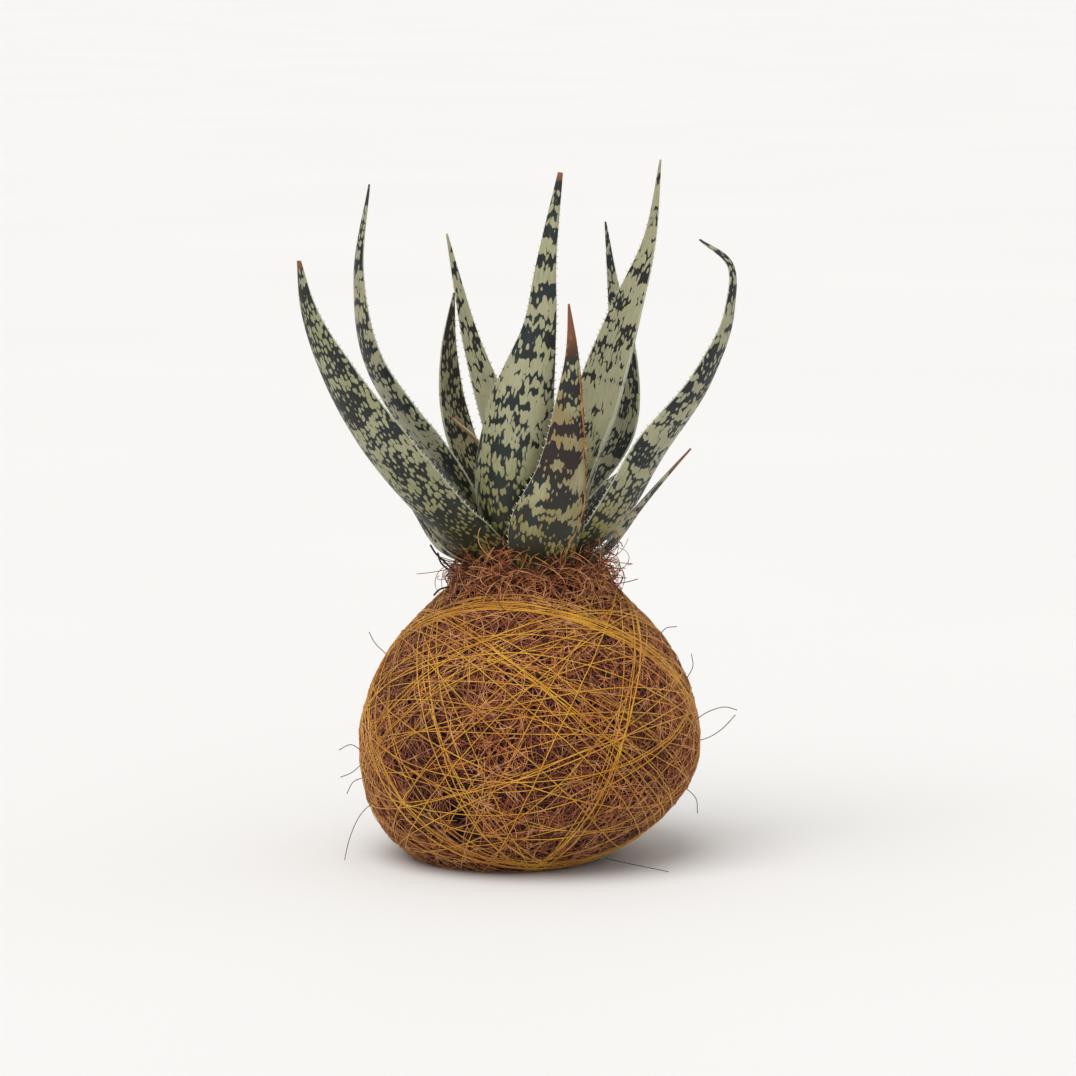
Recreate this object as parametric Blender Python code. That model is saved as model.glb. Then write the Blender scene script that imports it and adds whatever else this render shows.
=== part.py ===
"""Kokedama: a spotted aloe growing from a ball of soil that is wrapped in coir and bound with thread.

Metres, +Z up. The origin is on the surface that the ball rests on, under the ball's axis.
Left, right, front and back are as seen from -Y, looking along +Y. The tables are in millimetres.
"""

import math
from collections import namedtuple

import bmesh
import bpy
import numpy as np
from mathutils import Vector

MM = 0.001
CLEARANCE = 0.3  # between pieces that touch

# The ball: its outline as (radius, height), from the edge of the flat spot up to the neck's rim.
BALL_OUTLINE = (
    (27.0, 0.0),
    (40.0, 9.2),
    (48.8, 21.0),
    (52.0, 34.0),
    (49.8, 49.0),
    (41.7, 66.0),
    (29.8, 79.0),
    (23.8, 85.5),
    (22.6, 89.5),
)
BALL_CENTRE_Z = 36.0
SAG_OFFSET = 7.0  # how far the flat spot lies to the left of the axis
SAG_HEIGHT = 28.0  # where that offset has faded out
NECK_LEAN = 0.014  # sideways per unit of height
WRAP_THICKNESS = 3.6
BALL_SIDES = 32
OUTLINE_STEPS = 16

SOIL_TOP_Z = 79.5
SOCKET_FLOOR_Z = 66.0
STEM_RADIUS = 4.7
STEM_TOP_Z = 96.0

THREAD_RADIUS = 0.4
THREAD_STEPS = 36
# Each turn of thread: the azimuth that its plane dips towards, and how steeply.
THREAD_TURNS = ((20, 44), (66, 30), (105, 44), (152, 22), (190, 40), (238, 33), (283, 44), (325, 26))

# The leaves sheathe the stem in layers. Each layer is a ring round the stem at this radius.
LAYER_RADIUS = (17.1, 13.8, 10.3, 6.8)
LAYER_THICKNESS = (2.4, 2.8, 2.9, 2.7)
LEAF_FOOT_Z = 83.0
LEAF_COLLAR_Z = 90.0  # the blades stand upright in the neck up to here
STEM_AXIS_X = 1.2
LEAF_SIDES = 12
LEAF_STEPS = 12

# layer: which ring the foot sheathes. foot: its azimuth and half width. face: the azimuth that the
# outer face has turned to above the neck. channel: the radius that the blade is dished to.
# stations: (x, y, z, half width) up the blade, to the tip.
Leaf = namedtuple("Leaf", "name layer foot face channel colour stations")

GREEN = (0.17, 0.20, 0.10, 1.0)
PALE = (0.36, 0.38, 0.24, 1.0)
BROWN = (0.22, 0.17, 0.09, 1.0)
DRY = (0.36, 0.20, 0.09, 1.0)
COIR = (0.20, 0.08, 0.03, 1.0)
YELLOW = (0.55, 0.30, 0.03, 1.0)
SOIL = (0.03, 0.02, 0.012, 1.0)

LEAVES = (
    Leaf("leaf_far_left", 1, (222, 7), 223, 14, GREEN,
         ((-24.6, -17, 105, 11), (-42, -27, 126, 11.5), (-58, -33, 153, 8), (-66, -37, 174, 3.6),
          (-68.3, -39, 188, 0.9))),
    Leaf("leaf_left", 2, (170, 5.6), 206, 12, GREEN,
         ((-24, 1, 118, 9), (-38, -2, 136, 8.5), (-48.5, -4, 155, 6.5), (-52, -5, 180, 3.6),
          (-48.3, -7, 209, 0.3))),
    Leaf("leaf_brown_left", 3, (150, 2.8), 135, 10, BROWN,
         ((-12, 14, 107, 5), (-20.5, 18, 124, 6.3), (-24.5, 19.5, 140, 5.6), (-25, 18.5, 155, 3.6),
          (-23, 16.5, 174, 0.3))),
    Leaf("leaf_inner_left", 3, (100, 2.6), 110, 10, PALE,
         ((-2, 12, 108, 5), (-10.5, 17, 136, 5.3), (-17.5, 19.5, 158, 3), (-25.3, 22, 192, 0.3))),
    Leaf("leaf_centre", 2, (264, 7), 260, 15, PALE,
         ((-5.5, -18, 112, 12.4), (-3, -22, 140, 11.2), (3.6, -20, 167, 5.2), (5.5, -18, 185, 3.2),
          (9.9, -14, 213, 0.8))),
    Leaf("leaf_front", 0, (280, 9), 283, 18, BROWN,
         ((5.8, -24, 102, 12.4), (10.6, -27, 124, 7.7), (12.8, -27, 145, 4.3), (13.4, -26, 160, 1.9),
          (12.4, -25, 174, 0.3))),
    Leaf("leaf_back_right", 3, (54, 2.3), 56, 11, PALE,
         ((14, 20.5, 108, 5.2), (29.5, 27, 132, 7), (30, 30, 156, 5.2), (26.8, 32, 175, 2.2),
          (24.2, 33, 195, 0.3))),
    Leaf("leaf_tall", 2, (3, 6), 50, 13, PALE,
         ((16, 4.5, 112, 8), (23.8, 12, 143, 9.4), (31, 13.5, 168, 6.3), (37.8, 13, 191, 2.5),
          (40.9, 12, 215.5, 0.3))),
    Leaf("leaf_hooked", 1, (332, 7), 325, 12, GREEN,
         ((26.5, -14, 106, 10.2), (39, -23, 129, 9.3), (53.5, -30, 152, 6), (60.8, -34, 173, 2.7),
          (60.5, -34.5, 187, 1.5), (51.5, -33, 194, 0.3))),
    Leaf("leaf_low_right", 0, (356, 5), 350, 14, BROWN,
         ((25.5, -2, 97.5, 6.2), (35.5, -4.5, 111, 4.2), (43, -6, 120, 2), (50, -7, 128, 0.3))),
    Leaf("leaf_low_left", 0, (178, 5), 187, 14, GREEN,
         ((-27.5, -2, 97.5, 6), (-34, -4, 107.5, 4), (-40, -6, 118, 0.3))),
    Leaf("leaf_back_centre", 1, (102, 6), 92, 13, GREEN,
         ((-0.5, 20.5, 107, 7.4), (2, 26, 134, 6.5), (4.5, 27, 152, 3.2), (6, 26, 166, 0.3))),
    Leaf("leaf_back_low_left", 0, (137, 5.4), 132, 14, GREEN,
         ((-17, 21, 97, 7.2), (-24, 32, 108, 5.6), (-31, 43, 116, 0.3))),
    Leaf("leaf_back_low_right", 0, (50, 5.4), 50, 14, GREEN,
         ((18, 21.5, 98, 7.2), (26, 31, 110, 5.6), (34, 42, 119, 0.3))),
    Leaf("leaf_young", 3, (275, 3.4), 270, 9, PALE,
         ((1, -9, 108, 5), (1, -11, 128, 3.5), (2, -11, 150, 0.3))),
    Leaf("leaf_withered", 3, (222, 1.5), 200, 8, DRY,
         ((-9, -3, 105, 1.5), (-14.5, -1, 128, 1.3), (-24, 2, 137, 0.4))),
)


def clear_scene():
    for old in list(bpy.data.objects):
        bpy.data.objects.remove(old, do_unlink=True)


def collection(name):
    made = bpy.data.collections.new(name)
    bpy.context.scene.collection.children.link(made)
    return made


def material(name, colour, roughness=0.8):
    made = bpy.data.materials.new(name)
    made.use_nodes = True
    shader = made.node_tree.nodes["Principled BSDF"]
    shader.inputs["Base Color"].default_value = colour
    shader.inputs["Roughness"].default_value = roughness
    made.diffuse_color = colour
    return made


def add_object(name, bm, finish, owner):
    """Turns a bmesh in millimetres into a named object in metres, its faces pointing out."""
    bmesh.ops.recalc_face_normals(bm, faces=bm.faces)
    if bm.calc_volume(signed=True) < 0:
        bmesh.ops.reverse_faces(bm, faces=bm.faces)
    bmesh.ops.scale(bm, vec=Vector((MM, MM, MM)), verts=bm.verts)
    mesh = bpy.data.meshes.new(name)
    bm.to_mesh(mesh)
    bm.free()
    mesh.shade_smooth()
    mesh.materials.append(finish)
    made = bpy.data.objects.new(name, mesh)
    owner.objects.link(made)
    return made


def smooth_rows(rows, count):
    """count + 1 rows, evenly spread by place, on a smooth curve through the given rows.

    A row may be longer than its place: every number in it follows the same curve."""
    known = np.array(rows, float)
    gaps = np.linalg.norm(np.diff(known[:, :3], axis=0), axis=1)[:, None]
    slopes = np.diff(known, axis=0) / gaps
    inner = (slopes[:-1] * gaps[1:] + slopes[1:] * gaps[:-1]) / (gaps[:-1] + gaps[1:])
    tangents = np.vstack([slopes[:1], inner, slopes[-1:]])
    t = np.linspace(0, 1, 24, endpoint=False)[:, None]
    fine = []
    for start, end, leave, arrive, gap in zip(known, known[1:], tangents, tangents[1:], gaps):
        fine.append(start * (2 * t**3 - 3 * t**2 + 1) + end * (3 * t**2 - 2 * t**3)
                    + gap * (leave * (t**3 - 2 * t**2 + t) + arrive * (t**3 - t**2)))
    fine = np.vstack([*fine, known[-1:]])
    steps = np.linalg.norm(np.diff(fine[:, :3], axis=0), axis=1)
    travelled = np.concatenate([[0], np.cumsum(steps)])
    wanted = np.linspace(0, travelled[-1], count + 1)
    return np.column_stack([np.interp(wanted, travelled, column) for column in fine.T])


OUTLINE = smooth_rows(BALL_OUTLINE, OUTLINE_STEPS)


def ball_radius(z):
    return float(np.interp(z, OUTLINE[:, 1], OUTLINE[:, 0]))


def ball_shift(z):
    """How far the ball's axis is moved along +X at a height: the ball sags to the left."""
    return NECK_LEAN * z - SAG_OFFSET * max(0.0, 1 - z / SAG_HEIGHT) ** 1.2


def inset_outline(depth):
    """The ball's outline moved inwards by depth, with its flat spot raised as much."""
    along = np.gradient(OUTLINE, axis=0)
    along[0] = (1, 0.6)
    along /= np.linalg.norm(along, axis=1, keepdims=True)
    inward = np.column_stack([-along[:, 1], along[:, 0]])
    moved = OUTLINE + inward * depth
    moved[0, 1] = depth
    return moved


def turned(outline):
    """A bmesh of the (radius, height) outline spun round Z, then shifted to the ball's sagging axis."""
    bm = bmesh.new()
    verts = [bm.verts.new((radius, 0, z)) for radius, z in outline]
    edges = [bm.edges.new(pair) for pair in zip(verts, verts[1:])]
    bmesh.ops.spin(bm, geom=verts + edges, axis=(0, 0, 1), cent=(0, 0, 0), steps=BALL_SIDES,
                   angle=math.tau, use_merge=True)
    bmesh.ops.remove_doubles(bm, verts=bm.verts, dist=0.01)
    for vert in bm.verts:
        vert.co.x += ball_shift(vert.co.z)
    return bm


def make_coir_wrap(owner):
    """The fibre wrap: a thick shell, closed and flat below, open at its neck where the leaves come out."""
    inner = inset_outline(WRAP_THICKNESS)
    inner[-1] = (OUTLINE[-1, 0] - WRAP_THICKNESS, OUTLINE[-1, 1])
    shell = [(0, 0), *OUTLINE, *inner[::-1], (0, WRAP_THICKNESS)]
    return add_object("coir_wrap", turned(shell), material("coir", COIR, 0.9), owner)


def make_soil_core(owner):
    """Soil and roots that fill the wrap, with a socket in the top where the stem is rooted."""
    depth = WRAP_THICKNESS + CLEARANCE
    skin = [tuple(row) for row in inset_outline(depth) if row[1] < SOIL_TOP_Z - 2]
    socket = STEM_RADIUS + CLEARANCE
    rim = ball_radius(SOIL_TOP_Z) - 2 * depth
    ball = [(0, depth), *skin, (rim, SOIL_TOP_Z), (socket, SOIL_TOP_Z), (socket, SOCKET_FLOOR_Z),
            (0, SOCKET_FLOOR_Z)]
    return add_object("soil_core", turned(ball), material("soil", SOIL, 1.0), owner)


def make_stem(owner):
    """The short stem, rooted in the soil's socket. It tapers to a dome that the leaves hide."""
    foot_z = SOCKET_FLOOR_Z + CLEARANCE
    outline = [(0, foot_z), (STEM_RADIUS - 1, foot_z), (STEM_RADIUS, foot_z + 1.5),
               (STEM_RADIUS, STEM_TOP_Z - 5), (STEM_RADIUS - 1, STEM_TOP_Z - 1.5), (0, STEM_TOP_Z)]
    return add_object("plant_stem", turned(outline), material("stem", GREEN), owner)


def surface_point(direction, lift):
    """Where a ray from the ball's centre leaves the ball, raised by lift."""
    low, high = 20.0, 70.0
    centre = Vector((0, 0, BALL_CENTRE_Z))
    for _ in range(24):
        middle = (low + high) / 2
        point = centre + direction * middle
        inside = math.hypot(point.x - ball_shift(point.z), point.y) < ball_radius(point.z)
        low, high = (middle, high) if inside else (low, middle)
    return centre + direction * (low + lift)


def thread_turn(name, azimuth, dip):
    """One closed turn of thread round the ball, as a tube with its own mesh."""
    azimuth, dip = math.radians(azimuth), math.radians(dip)
    level = Vector((-math.sin(azimuth), math.cos(azimuth), 0))
    sloping = Vector((math.cos(azimuth) * math.cos(dip), math.sin(azimuth) * math.cos(dip), -math.sin(dip)))
    curve = bpy.data.curves.new(name, "CURVE")
    curve.dimensions = "3D"
    curve.bevel_depth = THREAD_RADIUS * MM
    curve.bevel_resolution = 0
    spline = curve.splines.new("POLY")
    spline.points.add(THREAD_STEPS - 1)
    spline.use_cyclic_u = True
    for i, point in enumerate(spline.points):
        turn = math.tau * i / THREAD_STEPS
        place = surface_point(level * math.cos(turn) + sloping * math.sin(turn), THREAD_RADIUS + 1.6 * CLEARANCE)
        point.co = (*(place * MM), 1)
    path = bpy.data.objects.new(name + "_path", curve)
    bpy.context.scene.collection.objects.link(path)
    tube = bpy.data.meshes.new_from_object(path.evaluated_get(bpy.context.evaluated_depsgraph_get()))
    bpy.data.objects.remove(path)
    return bpy.data.objects.new(name, tube)


def make_binding_thread(owner, tools):
    """The yellow thread, a net of turns that cross each other and so hold together as one piece."""
    turns = [thread_turn("thread_turn_%d" % i, *turn) for i, turn in enumerate(THREAD_TURNS)]
    net = turns[0]
    net.name = "binding_thread"
    net.data.materials.clear()
    net.data.materials.append(material("thread", YELLOW, 0.6))
    owner.objects.link(net)
    for turn in turns[1:]:
        turn.hide_render = True
        turn.display_type = "WIRE"
        tools.objects.link(turn)
    union = net.modifiers.new("join_turns", "BOOLEAN")
    union.operation = "UNION"
    union.operand_type = "COLLECTION"
    union.collection = tools
    return net


def leaf_rows(leaf):
    """Rows of (x, y, z, half width) up the blade's middle, from the foot in its layer to the tip."""
    azimuth = math.radians(leaf.foot[0])
    radius = LAYER_RADIUS[leaf.layer]
    x, y = STEM_AXIS_X + radius * math.cos(azimuth), radius * math.sin(azimuth)
    foot = (x, y, LEAF_FOOT_Z, leaf.foot[1])
    collar = (x, y, LEAF_COLLAR_Z, leaf.foot[1])
    return smooth_rows((foot, collar, *leaf.stations), LEAF_STEPS)


def make_leaf(leaf, owner):
    """A fleshy blade: a lens-shaped section, dished like a gutter, that follows the leaf's middle line."""
    rows = leaf_rows(leaf)
    along = np.gradient(rows[:, :3], axis=0)
    bm = bmesh.new()
    bmesh.ops.create_cone(bm, cap_ends=True, segments=LEAF_SIDES, radius1=1, radius2=1, depth=2)
    lengthwise = [edge for edge in bm.edges if abs(edge.verts[0].co.z - edge.verts[1].co.z) > 1]
    bmesh.ops.subdivide_edges(bm, edges=lengthwise, cuts=LEAF_STEPS - 1)
    for vert in bm.verts:
        row = round((vert.co.z + 1) / 2 * LEAF_STEPS)
        t = row / LEAF_STEPS
        middle, half_width = Vector(rows[row, :3]), rows[row, 3]
        up = Vector(along[row]).normalized()
        azimuth = math.radians(leaf.foot[0] + (leaf.face - leaf.foot[0]) * min(1.0, t / 0.4))
        outward = Vector((math.cos(azimuth), math.sin(azimuth), 0))
        outward = (outward - up * outward.dot(up)).normalized()
        side = up.cross(outward)
        foot_share = max(0.0, 1 - t / 0.3)
        dish = LAYER_RADIUS[leaf.layer] * foot_share + leaf.channel * (1 - foot_share)
        thickness = LAYER_THICKNESS[leaf.layer] * foot_share + (0.5 + 0.33 * half_width) * (1 - foot_share)
        thickness = min(thickness, 2 * half_width)
        turn = half_width * vert.co.x / dish
        reach = dish + thickness / 2 * vert.co.y
        vert.co = middle - outward * dish + (outward * math.cos(turn) + side * math.sin(turn)) * reach
    return add_object(leaf.name, bm, material(leaf.name, leaf.colour, 0.5), owner)


def main():
    clear_scene()
    kokedama = collection("kokedama")
    tools = collection("cutters")
    make_soil_core(kokedama)
    make_coir_wrap(kokedama)
    make_binding_thread(kokedama, tools)
    make_stem(kokedama)
    for leaf in LEAVES:
        make_leaf(leaf, kokedama)


main()
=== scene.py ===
"""Looks of the kokedama: a spotted aloe in a coir ball bound with yellow thread, on a pale floor."""

import math
import random

import bmesh
import bpy
import numpy as np
from mathutils import Matrix, Vector, noise
from mathutils.bvhtree import BVHTree


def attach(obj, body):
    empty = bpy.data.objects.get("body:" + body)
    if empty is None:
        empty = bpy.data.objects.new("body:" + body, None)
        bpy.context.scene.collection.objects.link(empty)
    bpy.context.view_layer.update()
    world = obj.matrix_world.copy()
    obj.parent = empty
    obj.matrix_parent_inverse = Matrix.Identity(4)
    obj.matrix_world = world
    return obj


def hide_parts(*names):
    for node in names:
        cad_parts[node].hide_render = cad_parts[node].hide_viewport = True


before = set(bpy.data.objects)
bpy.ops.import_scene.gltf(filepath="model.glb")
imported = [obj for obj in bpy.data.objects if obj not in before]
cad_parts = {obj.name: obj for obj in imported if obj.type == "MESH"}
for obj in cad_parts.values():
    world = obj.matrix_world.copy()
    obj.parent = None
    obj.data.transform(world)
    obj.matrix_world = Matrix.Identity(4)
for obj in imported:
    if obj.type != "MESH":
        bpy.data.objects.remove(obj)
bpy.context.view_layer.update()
MM = 0.001

# ---------------------------------------------------------------------------------------------
# Leaves. Fleshy blades of a spotted aloe: a dished, lens-shaped section that tapers to a point,
# pale oblong spots on near-black green, and a pale horny margin with fine white teeth.
# Each blade grows out of the neck, so it follows the same middle line as its solid.

LAYER_RADIUS = (17.1, 13.8, 10.3, 6.8)
LAYER_THICKNESS = (2.4, 2.8, 2.9, 2.7)
FOOT_Z, COLLAR_Z, STEM_X = 83.0, 90.0, 1.2
BLADE_SIDES, BLADE_STEPS = 28, 90
TOOTH_GAP, TOOTH_LENGTH, TOOTH_RADIUS, TOOTH_LEAN = 2.1, 0.95, 0.26, 0.45
TEETH_FROM, TEETH_TO = 0.16, 0.93  # shares of the blade's length
TURNED_BY, FLAT_BY = 0.4, 0.3  # where the blade has turned to its face and left the neck's curve


def smooth_rows(rows, count):
    """count + 1 rows, evenly spread by place, on a smooth curve through the given rows."""
    known = np.array(rows, float)
    gaps = np.linalg.norm(np.diff(known[:, :3], axis=0), axis=1)[:, None]
    slopes = np.diff(known, axis=0) / gaps
    inner = (slopes[:-1] * gaps[1:] + slopes[1:] * gaps[:-1]) / (gaps[:-1] + gaps[1:])
    tangents = np.vstack([slopes[:1], inner, slopes[-1:]])
    t = np.linspace(0, 1, 24, endpoint=False)[:, None]
    fine = []
    for start, end, leave, arrive, gap in zip(known, known[1:], tangents, tangents[1:], gaps):
        fine.append(start * (2 * t**3 - 3 * t**2 + 1) + end * (3 * t**2 - 2 * t**3)
                    + gap * (leave * (t**3 - 2 * t**2 + t) + arrive * (t**3 - t**2)))
    fine = np.vstack([*fine, known[-1:]])
    steps = np.linalg.norm(np.diff(fine[:, :3], axis=0), axis=1)
    travelled = np.concatenate([[0], np.cumsum(steps)])
    wanted = np.linspace(0, travelled[-1], count + 1)
    return np.column_stack([np.interp(wanted, travelled, column) for column in fine.T])


class Wire:
    """A shader socket: arithmetic on it adds Math nodes."""

    def __init__(self, finish, socket):
        self.finish = finish
        self.socket = socket

    def math(self, operation, *values):
        return self.finish.wire("Math", 0, dict(enumerate(values)), operation=operation)

    def __add__(self, other):
        return self.math("ADD", self, other)

    def __sub__(self, other):
        return self.math("SUBTRACT", self, other)

    def __rsub__(self, other):
        return self.math("SUBTRACT", other, self)

    def __mul__(self, other):
        return self.math("MULTIPLY", self, other)

    __radd__ = __add__
    __rmul__ = __mul__

    def ramp(self, low, high):
        """0 below low, 1 above high, smooth between. low may be above high."""
        values = {"Value": self, "From Min": low, "From Max": high}
        return self.finish.wire("MapRange", 0, values, interpolation_type="SMOOTHSTEP")

    def largest(self, other):
        return self.math("MAXIMUM", self, other)

    def smallest(self, other):
        return self.math("MINIMUM", self, other)


class Finish:
    """A material in the making, with one method that adds any node."""

    def __init__(self, name, roughness=0.5, specular=0.5, sheen=0.0):
        self.material = bpy.data.materials.new(name)
        self.material.use_nodes = True
        self.tree = self.material.node_tree
        self.shader = self.tree.nodes["Principled BSDF"]
        self.shader.inputs["Roughness"].default_value = roughness
        self.shader.inputs["Specular IOR Level"].default_value = specular
        self.shader.inputs["Sheen Weight"].default_value = sheen

    def node(self, kind, values=None, **settings):
        made = self.tree.nodes.new("ShaderNode" + kind)
        for key, value in settings.items():
            setattr(made, key, value)
        for key, value in (values or {}).items():
            if isinstance(value, Wire):
                self.tree.links.new(value.socket, made.inputs[key])
            else:
                made.inputs[key].default_value = value
        return made

    def wire(self, kind, output, values=None, **settings):
        return Wire(self, self.node(kind, values, **settings).outputs[output])

    def vector(self, x, y, z):
        return self.wire("CombineXYZ", 0, {0: x, 1: y, 2: z})

    def split(self, vector):
        parts = self.node("SeparateXYZ", {0: vector})
        return [Wire(self, output) for output in parts.outputs]

    def noise(self, vector, scale=1.0, detail=2.0):
        return self.wire("TexNoise", 0, {"Vector": vector, "Scale": scale, "Detail": detail})

    def mix(self, factor, start, end):
        return self.wire("Mix", 2, {0: factor, 6: start, 7: end}, data_type="RGBA")

    def feed(self, socket, wire):
        self.tree.links.new(wire.socket, self.shader.inputs[socket])

    def bump(self, height, distance, strength=1.0):
        values = {"Height": height, "Distance": distance, "Strength": strength}
        self.feed("Normal", self.wire("Bump", 0, values))


def shade(red, green, blue):
    """A colour given as it looks on screen, made linear."""
    shares = [value / 255 for value in (red, green, blue)]
    linear = [((v + 0.055) / 1.055) ** 2.4 if v > 10 / 255 else v / 12.92 for v in shares]
    return (*linear, 1.0)


def leaf_finish(name, pale, dark, size, seed, swing=2.2, tip=(0.975, 0.99)):
    """Oblong pale spots that grow and merge between broken cross bands of the dark colour.

    size is the usual reach of a spot, in cells, and swing how much it changes from band to band.
    tip holds the shares of the length where the dry tip's colour starts and where it is full.
    """
    finish = Finish(name, roughness=0.42)
    across, along, share = finish.split(finish.wire("Attribute", "Vector", attribute_name="blade"))
    outer, rim, _ = finish.split(finish.wire("Attribute", "Vector", attribute_name="side"))
    sway = finish.noise(finish.vector(across * 0.45, along * 0.10, seed)) - 0.5
    slip = finish.noise(finish.vector(across * 0.9, along * 0.05, seed + 5.0), detail=0.0) - 0.5
    grid = finish.vector(across * 0.92 + sway * 0.4, along * 0.40 + slip * 0.9, seed)
    cells = {"Vector": grid, "Scale": 1.0, "Randomness": 0.7}
    distance = finish.wire("TexVoronoi", "Distance", cells, feature="F1")
    bands = finish.noise(finish.vector(across * 0.09, along * 0.22 + slip * 0.9, seed + 3.1), detail=1.0)
    blots = finish.noise(finish.vector(across * 0.3, along * 0.15, seed + 7.7), detail=1.0)
    foot = share.ramp(0.44, 0.12)
    reach = (bands - 0.5) * swing + (blots - 0.5) * 0.9 + size - foot * 0.16
    reach = reach - (share - 0.5) * 0.12 - (1 - outer) * 0.05
    reach = reach.smallest(0.86 - foot * 0.34).largest(0.16)
    spot = (reach - distance).ramp(-0.07, 0.06)
    streaks = finish.noise(finish.vector(across * 5.0, along * 0.22, seed), detail=2)
    clouds = finish.noise(finish.vector(across * 0.15, along * 0.07, seed + 1.0), detail=2)
    light = finish.mix(clouds.ramp(0.35, 0.7), pale, shade(168, 164, 130))
    light = finish.mix(foot, light, shade(124, 118, 52))
    light = finish.mix(streaks.ramp(0.42, 0.72) * 0.45, light, shade(104, 110, 78))
    deep = finish.mix(clouds.ramp(0.4, 0.62) * outer, dark, shade(16, 32, 30))
    deep = finish.mix(foot * 0.9, deep, shade(30, 34, 8))
    colour = finish.mix(spot, deep, light)
    margin = rim.ramp(0.955, 0.985) * share.ramp(0.98, 0.9) * 0.75
    colour = finish.mix(margin, colour, shade(196, 200, 176))
    colour = finish.mix(share.ramp(*tip), colour, shade(124, 74, 42))
    finish.feed("Base Color", colour)
    finish.feed("Roughness", 0.52 - spot * 0.1 + streaks * 0.08)
    finish.bump(streaks * 0.5 + spot * 0.4, 0.00025, 0.7)
    return finish.material


def tooth_finish():
    finish = Finish("horny_tooth", roughness=0.5)
    along = finish.split(finish.wire("Attribute", "Vector", attribute_name="blade"))[1]
    grain = finish.noise(finish.vector(along, along * 0.3, 0.0), scale=2.0)
    finish.feed("Base Color", finish.mix(grain, shade(216, 214, 190), shade(178, 176, 140)))
    return finish.material


TEETH = tooth_finish()


def make_leaf(name, layer, foot, face, channel, stations, finish, teeth=True):
    """A blade lofted along its middle line, with a tooth every few millimetres on both margins."""
    azimuth = math.radians(foot[0])
    x, y = STEM_X + LAYER_RADIUS[layer] * math.cos(azimuth), LAYER_RADIUS[layer] * math.sin(azimuth)
    rows = smooth_rows(((x, y, FOOT_Z, foot[1]), (x, y, COLLAR_Z, foot[1]), *stations), BLADE_STEPS)
    along = np.gradient(rows[:, :3], axis=0)
    length = float(np.linalg.norm(np.diff(rows[:, :3], axis=0), axis=1).sum())
    ripple = random.Random(name).uniform(0, 50)

    def place(t, across, height):
        """The section's point at t, its sideways direction there and the half width.

        across and height run from -1 to 1.
        """
        row = t * BLADE_STEPS
        low = min(int(row), BLADE_STEPS - 1)
        part = row - low
        point = rows[low] * (1 - part) + rows[low + 1] * part
        up = Vector(along[low] * (1 - part) + along[low + 1] * part).normalized()
        turned = math.radians(foot[0] + (face - foot[0]) * min(1.0, t / TURNED_BY))
        outward = Vector((math.cos(turned), math.sin(turned), 0))
        outward = (outward - up * outward.dot(up)).normalized()
        side = up.cross(outward)
        share = max(0.0, 1 - t / FLAT_BY)
        dish = LAYER_RADIUS[layer] * share + channel * (1 - share)
        half = float(point[3]) * (1 + 0.03 * noise.noise(Vector((t * 9, across, ripple))))
        thick = min(LAYER_THICKNESS[layer] * share + (0.5 + 0.33 * half) * (1 - share), 2 * half)
        turn = half * across / dish
        reach = dish + thick / 2 * height
        middle = Vector(point[:3])
        away = outward * math.cos(turn) + side * math.sin(turn)
        sideways = side * math.cos(turn) - outward * math.sin(turn)
        return middle - outward * dish + away * reach, sideways, half

    bm = bmesh.new()
    blade = bm.verts.layers.float_vector.new("blade")
    sides = bm.verts.layers.float_vector.new("side")
    bmesh.ops.create_cone(bm, cap_ends=True, segments=BLADE_SIDES, radius1=1, radius2=1, depth=2)
    lengthwise = [edge for edge in bm.edges if abs(edge.verts[0].co.z - edge.verts[1].co.z) > 1]
    bmesh.ops.subdivide_edges(bm, edges=lengthwise, cuts=BLADE_STEPS - 1)
    for vert in bm.verts:
        t, across, height = (vert.co.z + 1) / 2, vert.co.x, vert.co.y
        point, _, half = place(t, across, height)
        vert[blade] = (across * half, t * length, t)
        vert[sides] = (1.0 if height > 0 else 0.0, abs(across), 0)
        vert.co = point
    for polygon in bm.faces:
        polygon.smooth = True
    bmesh.ops.recalc_face_normals(bm, faces=bm.faces)
    if bm.calc_volume(signed=True) < 0:
        bmesh.ops.reverse_faces(bm, faces=bm.faces)
    chance = random.Random(name + "teeth")
    for margin in (-1, 1) if teeth else ():
        travelled = TEETH_FROM * length
        while travelled < TEETH_TO * length:
            t = travelled / length
            point, sideways, half = place(t, margin, 0)
            size = min(1.0, half / 4 + 0.3) * chance.uniform(0.7, 1.15)
            up = Vector(along[int(t * BLADE_STEPS)]).normalized()
            heading = (sideways * margin + up * TOOTH_LEAN).normalized()
            turn = heading.to_track_quat("Z", "Y").to_matrix().to_4x4()
            seat = Matrix.Translation(point + heading * (TOOTH_LENGTH * size * 0.3))
            made = bmesh.ops.create_cone(bm, cap_ends=True, segments=4, radius1=TOOTH_RADIUS * size,
                                         radius2=0.02, depth=TOOTH_LENGTH * size, matrix=seat @ turn)
            for vert in made["verts"]:
                vert[blade] = (0, travelled, t)
                for polygon in vert.link_faces:
                    polygon.material_index = 1
            travelled += TOOTH_GAP * chance.uniform(0.75, 1.3)
    bmesh.ops.scale(bm, vec=Vector((MM, MM, MM)), verts=bm.verts)
    mesh = bpy.data.meshes.new(name + "_blade")
    bm.to_mesh(mesh)
    bm.free()
    mesh.materials.append(finish)
    mesh.materials.append(TEETH)
    leaf = bpy.data.objects.new(name + "_blade", mesh)
    bpy.context.scene.collection.objects.link(leaf)
    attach(leaf, "root")
    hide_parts(name)


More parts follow.
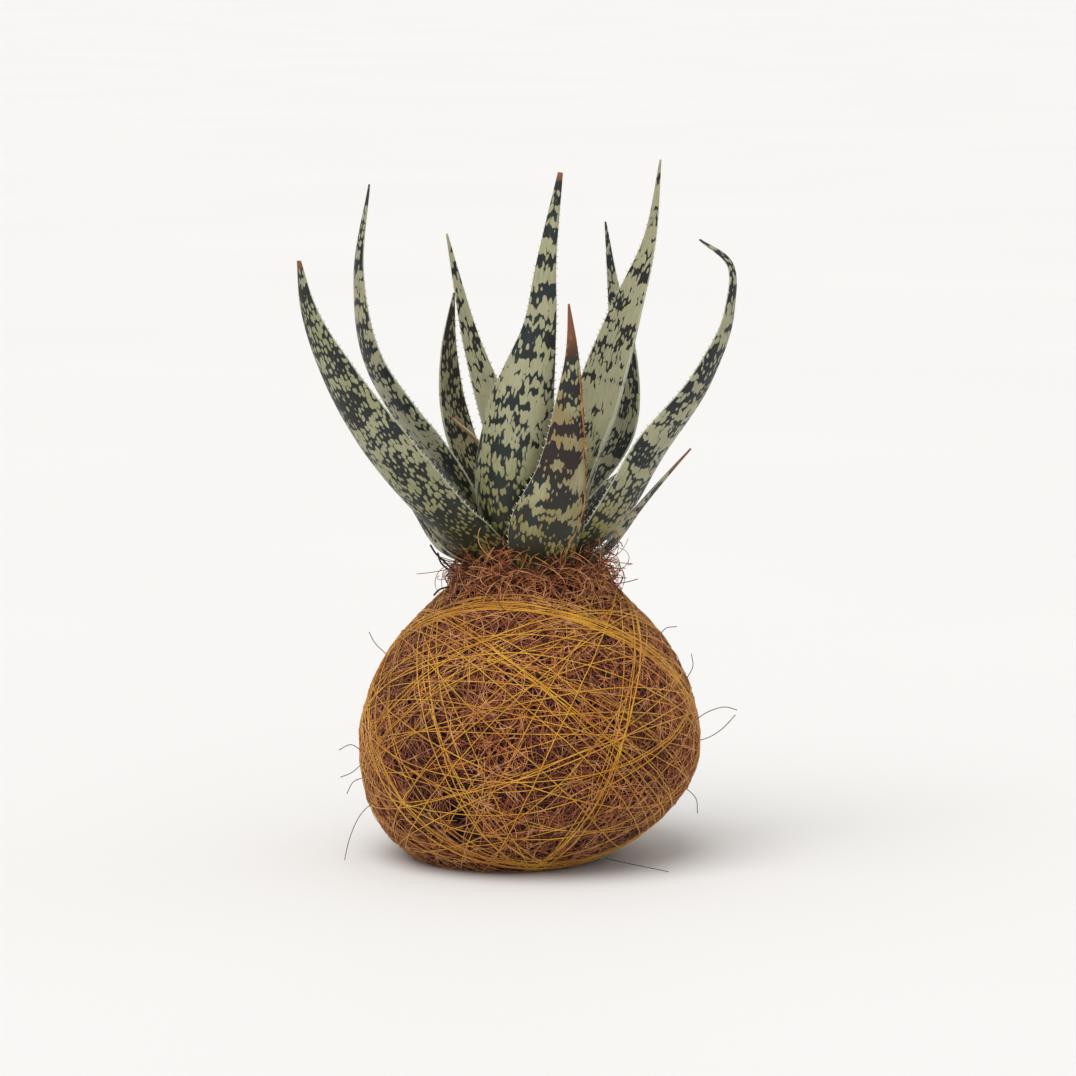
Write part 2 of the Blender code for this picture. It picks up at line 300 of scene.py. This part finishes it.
DARK = shade(13, 18, 10)
BLUE_DARK = shade(10, 22, 22)
DULL_TIP, LONG_DRY_TIP = (0.9, 1.3), (0.8, 0.92)
SPOTTED = leaf_finish("leaf_spotted", shade(150, 152, 112), DARK, 0.42, 2.3, 1.1)
SPOTTED_BLUE = leaf_finish("leaf_spotted_blue", shade(160, 158, 130), BLUE_DARK, 0.48, 9.4, 1.4, DULL_TIP)
PALE = leaf_finish("leaf_pale", shade(164, 163, 128), DARK, 0.60, 4.9, 1.5)
PALER = leaf_finish("leaf_paler", shade(172, 168, 134), DARK, 0.76, 6.2, 2.0, DULL_TIP)
BROWN = leaf_finish("leaf_banded_brown", shade(146, 128, 82), shade(34, 18, 12), 0.47, 12.7, 2.6,
                    LONG_DRY_TIP)
BROWN_NET = leaf_finish("leaf_netted_brown", shade(160, 150, 112), shade(30, 20, 14), 0.50, 15.1, 0.7,
                        DULL_TIP)
DRY = leaf_finish("leaf_dry", shade(186, 138, 84), shade(110, 66, 34), 0.8, 21.0)

make_leaf("leaf_far_left", 1, (222, 7), 223, 14,
          ((-24.6, -17, 105, 11), (-42, -27, 126, 11.5), (-58, -33, 153, 8), (-66, -37, 174, 3.6),
           (-68.3, -39, 188, 0.9)), SPOTTED)
make_leaf("leaf_left", 2, (170, 5.6), 206, 12,
          ((-24, 1, 118, 9), (-38, -2, 136, 8.5), (-48.5, -4, 155, 6.5), (-52, -5, 180, 3.6),
           (-48.3, -7, 209, 0.3)), SPOTTED_BLUE)
make_leaf("leaf_brown_left", 3, (150, 2.8), 135, 10,
          ((-12, 14, 107, 5), (-20.5, 18, 124, 6.3), (-24.5, 19.5, 140, 5.6), (-25, 18.5, 155, 3.6),
           (-23, 16.5, 174, 0.3)), BROWN_NET)
make_leaf("leaf_inner_left", 3, (100, 2.6), 110, 10,
          ((-2, 12, 108, 5), (-10.5, 17, 136, 5.3), (-17.5, 19.5, 158, 3), (-25.3, 22, 192, 0.3)), PALER)
make_leaf("leaf_centre", 2, (264, 7), 260, 15,
          ((-5.5, -18, 112, 12.4), (-3, -22, 140, 11.2), (3.6, -20, 167, 5.2), (5.5, -18, 185, 3.2),
           (9.9, -14, 213, 0.8)), PALE)
make_leaf("leaf_front", 0, (280, 9), 283, 18,
          ((5.8, -24, 102, 12.4), (10.6, -27, 124, 7.7), (12.8, -27, 145, 4.3), (13.4, -26, 160, 1.9),
           (12.4, -25, 174, 0.3)), BROWN)
make_leaf("leaf_back_right", 3, (54, 2.3), 56, 11,
          ((14, 20.5, 108, 5.2), (29.5, 27, 132, 7), (30, 30, 156, 5.2), (26.8, 32, 175, 2.2),
           (24.2, 33, 195, 0.3)), SPOTTED_BLUE)
make_leaf("leaf_tall", 2, (3, 6), 50, 13,
          ((16, 4.5, 112, 8), (23.8, 12, 143, 9.4), (31, 13.5, 168, 6.3), (37.8, 13, 191, 2.5),
           (40.9, 12, 215.5, 0.3)), PALER)
make_leaf("leaf_hooked", 1, (332, 7), 325, 12,
          ((26.5, -14, 106, 10.2), (39, -23, 129, 9.3), (53.5, -30, 152, 6), (60.8, -34, 173, 2.7),
           (60.5, -34.5, 187, 1.5), (51.5, -33, 194, 0.3)), SPOTTED_BLUE)
make_leaf("leaf_low_right", 0, (356, 5), 350, 14,
          ((25.5, -2, 97.5, 6.2), (35.5, -4.5, 111, 4.2), (43, -6, 120, 2), (50, -7, 128, 0.3)), BROWN)
make_leaf("leaf_low_left", 0, (178, 5), 187, 14,
          ((-27.5, -2, 97.5, 6), (-34, -4, 107.5, 4), (-40, -6, 118, 0.3)), BROWN_NET)
make_leaf("leaf_back_centre", 1, (102, 6), 92, 13,
          ((-0.5, 20.5, 107, 7.4), (2, 26, 134, 6.5), (4.5, 27, 152, 3.2), (6, 26, 166, 0.3)), SPOTTED)
make_leaf("leaf_back_low_left", 0, (137, 5.4), 132, 14,
          ((-17, 21, 97, 7.2), (-24, 32, 108, 5.6), (-31, 43, 116, 0.3)), SPOTTED)
make_leaf("leaf_back_low_right", 0, (50, 5.4), 50, 14,
          ((18, 21.5, 98, 7.2), (26, 31, 110, 5.6), (34, 42, 119, 0.3)), SPOTTED)
make_leaf("leaf_young", 3, (275, 3.4), 270, 9,
          ((1, -9, 108, 5), (1, -11, 128, 3.5), (2, -11, 150, 0.3)), PALE)
make_leaf("leaf_withered", 3, (222, 1.5), 200, 8,
          ((-9, -3, 105, 1.5), (-14.5, -1, 128, 1.3), (-24, 2, 137, 0.4)), DRY, teeth=False)

# ---------------------------------------------------------------------------------------------
# Soil and stem. Damp dark soil with roots fills the wrap, and the short stem stands in it.
# Both are almost wholly hidden, so they keep their solids.


def soil_finish():
    finish = Finish("damp_soil", roughness=0.95, specular=0.2)
    place = finish.wire("TexCoord", "Object")
    crumbs = finish.noise(place, scale=600.0, detail=4)
    finish.feed("Base Color", finish.mix(crumbs.ramp(0.35, 0.7), shade(26, 18, 12), shade(70, 48, 30)))
    finish.bump(crumbs, 0.0008)
    return finish.material


def stem_finish():
    finish = Finish("stem_skin", roughness=0.6)
    place = finish.wire("TexCoord", "Object")
    rings = finish.noise(place, scale=350.0, detail=3)
    finish.feed("Base Color", finish.mix(rings, shade(120, 116, 60), shade(60, 66, 34)))
    finish.bump(rings, 0.0004)
    return finish.material


def refinish(node, finish):
    """Gives a solid that stays in view its finish."""
    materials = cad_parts[node].data.materials
    materials.clear()
    materials.append(finish)


refinish("soil_core", soil_finish())
refinish("plant_stem", stem_finish())

# ---------------------------------------------------------------------------------------------
# Coir wrap. A felt of curly coconut fibres, 0.2 to 0.32 mm thick, dark red-brown deep down and
# straw-coloured on top; the darkening with depth is partly painted shade of the tangle. The solid
# shows as the dark felt between thousands of loose fibres, its darkness partly painted shade.


def coir_finish(name, dark, light, roughness=0.75):
    finish = Finish(name, roughness=roughness, specular=0.35, sheen=0.15)
    place = finish.wire("TexCoord", "Object")
    strands = finish.noise(place, scale=420.0, detail=1)
    patches = finish.noise(place, scale=45.0, detail=3)
    colour = finish.mix(strands.ramp(0.3, 0.7), dark, light)
    colour = finish.mix(patches.ramp(0.5, 0.75) * 0.55, colour, shade(70, 24, 12))
    finish.feed("Base Color", colour)
    finish.feed("Roughness", roughness - 0.1 + strands * 0.2)
    return finish.material


def felt_finish():
    finish = Finish("coir_felt", roughness=0.95, specular=0.15)
    place = finish.wire("TexCoord", "Object")
    tangle = finish.noise(place, scale=900.0, detail=4)
    x, y, z = finish.split(place)
    # Painted shade: the felt turns near-black over the slit low on the front, for the shade inside the
    # opening.
    across, upward = (x + 0.0215) * 420.0, (z - 0.021) * 70.0
    slit_shade = (across * across + upward * upward).ramp(1.3, 0.7) * y.ramp(0.0, -0.01)
    # The felt's near-black red is partly its own colour and partly painted shade of the gaps between
    # fibres.
    colour = finish.mix(tangle.ramp(0.35, 0.7), shade(26, 8, 4), shade(64, 28, 12))
    finish.feed("Base Color", finish.mix(slit_shade, colour, shade(14, 8, 6)))
    finish.bump(tangle, 0.0006)
    return finish.material


refinish("coir_wrap", felt_finish())



def surface(node):
    """A solid's surface in millimetres, to lay strands on."""
    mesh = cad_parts[node].data
    corners = [tuple(vertex.co / MM) for vertex in mesh.vertices]
    return BVHTree.FromPolygons(corners, [tuple(polygon.vertices) for polygon in mesh.polygons])


SKIN = surface("coir_wrap")
NECK_Z = 89.0
BALL_CENTRE = Vector((0, 0, 36))
# Where the felt has parted low on the front: middle and half size of the slit and of a small hole.
GAPS = ((-21.5, 21.0, 1.5, 12.5), (22.5, 21.0, 1.6, 1.4))


def over_gap(point):
    """Whether a point of a fibre lies over a gap in the front of the felt."""
    return point.y < 0 and any(((point.x - x) / wide) ** 2 + ((point.z - z) / high) ** 2 < 1
                               for x, z, wide, high in GAPS)


def strands(name, paths, radius, finish, slot, cyclic=False, sides=0):
    """A curve piece of thin round strands, one spline to each path of points in millimetres."""
    curve = bpy.data.curves.new(name, "CURVE")
    curve.dimensions = "3D"
    curve.bevel_depth = radius * MM
    curve.bevel_resolution = sides
    curve.use_fill_caps = not cyclic
    for path in paths:
        spline = curve.splines.new("POLY")
        spline.points.add(len(path) - 1)
        flat = np.ones((len(path), 4), np.float32)
        flat[:, :3] = np.array([tuple(p) for p in path]) * MM
        spline.points.foreach_set("co", flat.ravel())
        spline.use_cyclic_u = cyclic
        spline.use_smooth = True
    curve.materials.append(finish)
    piece = bpy.data.objects.new(name, curve)
    bpy.context.scene.collection.objects.link(piece)
    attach(piece, "root")
    return piece


def wall_point(chance):
    """A point on the outside of the ball, spread evenly over its wall, and the wall's normal."""
    while True:
        azimuth, z = chance.uniform(0, math.tau), chance.uniform(0.3, 90.5)
        ray = Vector((math.cos(azimuth), math.sin(azimuth), 0))
        place, normal, _, _ = SKIN.ray_cast(ray * 200 + Vector((0, 0, z)), -ray)
        if place and chance.random() < min(1.0, place.xy.length / 52 / max(0.3, normal.xy.length)):
            return place, normal


def felted_fibre(chance, steps, step, lift, curl):
    """A fibre that creeps over the ball in a random curl, weaving up and down by a little."""
    place, normal = wall_point(chance)
    any_way = Vector((chance.gauss(0, 1), chance.gauss(0, 1), chance.gauss(0, 1)))
    heading = any_way.cross(normal).normalized()
    bend, drift = chance.gauss(0, curl), chance.gauss(0, curl * 0.12)
    phase, path = chance.uniform(0, math.tau), []
    for i in range(steps):
        height = lift + 0.25 * math.sin(phase + i * 0.9)
        point = place + normal * height
        point.z = max(point.z, 0.2)
        path.append(point)
        heading = (Matrix.Rotation(bend * step, 3, normal) @ heading).normalized()
        bend += drift
        found, normal, _, _ = SKIN.find_nearest(place + heading * step)
        place = found
        heading = (heading - normal * heading.dot(normal)).normalized()
    return path


# Deeper layers take darker finishes: partly the fibres' own red-brown, partly painted shade deep in the
# tangle.
COIR_DEEP = coir_finish("coir_deep", shade(50, 16, 8), shade(98, 44, 18))
COIR_RED = coir_finish("coir_red", shade(76, 28, 12), shade(132, 64, 28))
COIR_MID = coir_finish("coir_mid", shade(116, 52, 22), shade(176, 98, 46))
COIR_TAN = coir_finish("coir_tan", shade(150, 80, 38), shade(212, 138, 76))
COIR_STRAW = coir_finish("coir_straw", shade(178, 110, 66), shade(228, 176, 120))
FIBRE_STEPS, FIBRE_STEP, FIBRE_CURL = 11, 2.1, 0.085
# Layers of fibres, deepest first: name, count, radius, height over the felt, finish.
FIBRES = (
    ("coir_fibres_deep_a", 1900, 0.16, 0.1, COIR_DEEP),
    ("coir_fibres_deep_b", 2000, 0.14, 0.35, COIR_RED),
    ("coir_fibres_mid_a", 2100, 0.12, 0.6, COIR_MID),
    ("coir_fibres_mid_b", 1700, 0.11, 0.85, COIR_TAN),
    ("coir_fibres_top", 800, 0.10, 1.05, COIR_STRAW),
)
for seed, (name, count, radius, lift, finish) in enumerate(FIBRES):
    chance = random.Random(seed)
    lifts = (lift + chance.uniform(-0.15, 0.15) for _ in range(count))
    paths = [felted_fibre(chance, FIBRE_STEPS, FIBRE_STEP, height, FIBRE_CURL) for height in lifts]
    paths = [path for path in paths if sum(map(over_gap, path)) < 2]
    strands(name, paths, radius, finish, "coir")

# The neck's collar of loose curls, which rises over the feet of the leaves and fills the mouth.


def curled_fibre(chance, low, high, steps=17, step=1.5):
    """A loose curl: an arc in a random plane that starts on a ring round the stem."""
    azimuth, radius = chance.uniform(0, math.tau), chance.uniform(low, high)
    outward = Vector((math.cos(azimuth), math.sin(azimuth), 0))
    place = outward * radius + Vector((STEM_X, 0, chance.uniform(86.5, 91.5)))
    round_ = Vector((-math.sin(azimuth), math.cos(azimuth), 0)) * chance.choice((-1, 1))
    heading = (round_ + Vector((0, 0, chance.uniform(-0.3, 0.6)))
               + outward * chance.uniform(-0.3, 0.15)).normalized()
    axis = Vector((chance.gauss(0, 0.7), chance.gauss(0, 0.7), chance.gauss(0, 1))).normalized()
    bend, path = chance.choice((-1, 1)) * chance.uniform(0.05, 0.26), []
    for _ in range(steps):
        path.append(place)
        place = place + heading * step
        turn = Matrix.Rotation(bend * step, 3, axis)
        heading = (turn @ heading).normalized()
        heading.z -= 0.07
        reach = (place.xy - Vector((STEM_X, 0))).length
        if reach > high + 1.2:
            heading.xy -= (place.xy - Vector((STEM_X, 0))) * (0.25 / reach)
        heading.normalize()
    return path


chance = random.Random(41)
# Inner curls take the darker finish: partly the fibres' own colour, partly painted shade inside the
# collar.
strands("coir_curls_dark", [curled_fibre(chance, 9, 20.3) for _ in range(1100)], 0.14, COIR_RED, "coir")
strands("coir_curls_tan", [curled_fibre(chance, 15, 20.8) for _ in range(700)], 0.12, COIR_TAN, "coir")
strands("coir_curls_straw", [curled_fibre(chance, 16, 21.2) for _ in range(220)], 0.12, COIR_STRAW, "coir")

# Stray hairs that stand off the ball, and a few dark root ends at the neck.
HAIRS = (
    ((50, -6, 42), (56, -8, 46.5), (61, -9, 48), (64.5, -10, 47.2)),
    ((50, -4, 36), (56, -6, 38), (60, -8, 41), (64, -9, 45.5)),
    ((-51, -6, 30), (-55, -8, 27), (-58, -9, 26)),
    ((-51, -4, 33), (-55, -5, 35.5), (-58.5, -6, 34)),
    ((-50, -8, 26), (-54, -9, 24.5), (-56, -10, 21)),
    ((-46, -12, 20), (-51, -14, 16), (-55, -16, 8), (-56.5, -17, 1.5)),
    ((49, -6, 22), (52, -7, 19), (52.5, -8, 14.5)),
    ((24, -22, 3), (33, -26, 1.8), (43, -30, 0.5)),
    ((40, 0, 68), (43, -1, 71.5), (46, -2, 72)),
    ((48.5, -3, 55), (51, -4, 60), (50.5, -5, 64)),
    ((-44, 6, 62), (-48, 7, 66), (-49.5, 7, 69)),
    ((30, 42, 40), (34, 49, 43), (35, 53, 41)),
    ((-28, 44, 30), (-33, 50, 27), (-36, 53, 22)),
    ((8, 51, 52), (11, 55, 57), (9, 57, 61)),
)
hair_paths = [[Vector(row) for row in smooth_rows(hair, 14)] for hair in HAIRS]
HAIR = coir_finish("hair_dark", shade(60, 40, 28), shade(96, 68, 44))
strands("stray_hairs", hair_paths, 0.13, HAIR, "coir")
DRY_STRAND = smooth_rows(((8, -21, 89), (11.5, -20.8, 95), (14.3, -23, 103), (17.3, -23.2, 114),
                          (17.8, -25.2, 129), (16.6, -26.6, 140), (15.6, -26.3, 154)), 40)
BLADE = surface("leaf_front")
CLINGS_ABOVE_Z = 96
clung = []
for row in DRY_STRAND:
    place, normal, _, _ = BLADE.find_nearest(Vector(row))
    clung.append(place + normal * 0.2 if row[2] > CLINGS_ABOVE_Z else Vector(row))
strands("dry_margin_strand", [clung], 0.26,
        coir_finish("dry_strand", shade(150, 84, 40), shade(206, 146, 84)), "dry_leaf", sides=1)
ROOTS = (
    ((-22, -6, 89), (-25, -8, 92.5), (-28.5, -9, 96), (-30, -9, 98.5)),
    ((-24, -5, 85), (-27.5, -6, 84), (-29, -7, 82.5)),
    ((-23, 4, 88), (-27, 5, 91), (-28, 6, 94)),
)
root_paths = [[Vector(row) for row in smooth_rows(root, 12)] for root in ROOTS]
ROOT = coir_finish("root_dark", shade(26, 20, 18), shade(52, 40, 32))
strands("root_ends", root_paths, 0.3, ROOT, "coir", sides=1)

# ---------------------------------------------------------------------------------------------
# Binding thread. One long mustard-yellow thread, 0.34 mm thick, wound round the ball in turns that
# lie in changing planes, some of them bundled into bands. It is tied off inside the winding.

THREAD_RADIUS = 0.17
THREAD_LIFT = 0.95
TURN_STEPS = 84
# Bands of turns: the plane's normal, its distance from the ball's centre, turns, and their spread.
BANDS = (
    ((0.18, 0.72, 0.67), 13.0, 13, 0.05),
    ((-0.45, 0.55, 0.70), 9.0, 6, 0.07),
    ((0.62, 0.30, 0.72), 8.0, 7, 0.06),
    ((-0.85, -0.30, 0.42), -6.0, 5, 0.05),
    ((0.80, -0.45, 0.40), 4.0, 5, 0.06),
    ((0.35, -0.75, 0.56), 6.0, 5, 0.06),
)
LOOSE_TURNS = 44


def thread_turn(chance, normal, offset):
    """The points of a turn that lies in a plane, or None where it would ride over the neck."""
    normal = normal.normalized()
    middle = BALL_CENTRE + normal * offset
    first = normal.orthogonal().normalized()
    second = normal.cross(first)
    lift = THREAD_LIFT + chance.uniform(-0.25, 0.45)
    waves = [(chance.uniform(0, math.tau), chance.uniform(0.1, 0.5), k) for k in (2, 3, 5)]
    path = []
    for i in range(TURN_STEPS):
        turn = math.tau * i / TURN_STEPS
        ray = first * math.cos(turn) + second * math.sin(turn)
        sway = sum(size * math.sin(k * turn + phase) for phase, size, k in waves)
        place, outward, _, _ = SKIN.ray_cast(middle + normal * sway + ray * 150, -ray)
        if not place or place.z > NECK_Z - 3 or place.xy.length < 21 and place.z > 60:
            return None
        point = place + outward * lift
        point.z = max(point.z, THREAD_RADIUS + 0.02)
        path.append(point)
    return path


chance = random.Random(77)
turns = []
for normal, offset, count, spread in BANDS:
    made = 0
    while made < count:
        tilted = Vector([n + chance.gauss(0, spread) for n in normal])
        path = thread_turn(chance, tilted, offset + chance.gauss(0, 1.6))
        if path:
            turns.append(path)
            made += 1
        else:
            offset -= 0.2
while len(turns) < LOOSE_TURNS + sum(band[2] for band in BANDS):
    azimuth, dip = chance.uniform(0, math.tau), math.radians(chance.uniform(12, 66))
    flat = math.sin(dip)
    normal = Vector((math.cos(azimuth) * flat, math.sin(azimuth) * flat, math.cos(dip)))
    path = thread_turn(chance, normal, chance.gauss(0, 7))
    if path:
        turns.append(path)


def thread_finish():
    finish = Finish("mustard_thread", roughness=0.55, specular=0.4, sheen=0.2)
    place = finish.wire("TexCoord", "Object")
    dye = finish.noise(place, scale=60.0, detail=3)
    plies = finish.noise(place, scale=2200.0, detail=1)
    colour = finish.mix(dye.ramp(0.35, 0.7), shade(206, 142, 18), shade(234, 178, 46))
    finish.feed("Base Color", finish.mix(plies.ramp(0.4, 0.75) * 0.6, colour, shade(168, 100, 14)))
    finish.feed("Roughness", 0.5 + plies * 0.2)
    return finish.material


winding = strands("thread_winding", turns, THREAD_RADIUS, thread_finish(), "thread", cyclic=True)
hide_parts("binding_thread")

# ---------------------------------------------------------------------------------------------
# Studio. A pale seamless floor, an even white surround and one soft sun from above left.


def floor_finish():
    finish = Finish("pale_floor", roughness=0.7, specular=0.2)
    place = finish.wire("TexCoord", "Object")
    tone = finish.noise(place, scale=2.5, detail=2)
    finish.feed("Base Color", finish.mix(tone, (0.86, 0.85, 0.835, 1), (0.9, 0.89, 0.875, 1)))
    return finish.material


bm = bmesh.new()
bmesh.ops.create_circle(bm, cap_ends=True, segments=96, radius=30.0)
floor_mesh = bpy.data.meshes.new("floor")
bm.to_mesh(floor_mesh)
bm.free()
floor_mesh.materials.append(floor_finish())
floor = bpy.data.objects.new("floor", floor_mesh)
bpy.context.scene.collection.objects.link(floor)

world = bpy.data.worlds.new("surround")
world.use_nodes = True
world.node_tree.nodes["Background"].inputs["Color"].default_value = (1.0, 0.995, 0.985, 1)
world.node_tree.nodes["Background"].inputs["Strength"].default_value = 0.6
bpy.context.scene.world = world

sun_data = bpy.data.lights.new("window", "SUN")
sun_data.energy = 1.8
sun_data.angle = math.radians(50)
sun = bpy.data.objects.new("window", sun_data)
sun.rotation_euler = (math.radians(24), math.radians(-16), 0)
bpy.context.scene.collection.objects.link(sun)

VIEW_DISTANCE = 1.5
VIEW_RISE = math.radians(7.5)
VIEW_CENTRE = Vector((0.0031, 0.0, 0.0994))
VIEW_WIDTH = 0.3325
lens = bpy.data.cameras.new("camera")
lens.sensor_width = 36.0
lens.lens = 36.0 * VIEW_DISTANCE / VIEW_WIDTH
lens.clip_end = 100.0
camera = bpy.data.objects.new("camera", lens)
camera.location = VIEW_CENTRE + Vector((0, -math.cos(VIEW_RISE), math.sin(VIEW_RISE))) * VIEW_DISTANCE
camera.rotation_euler = (math.radians(90) - VIEW_RISE, 0, 0)
bpy.context.scene.collection.objects.link(camera)
bpy.context.scene.camera = camera
bpy.context.scene.view_settings.view_transform = "Standard"
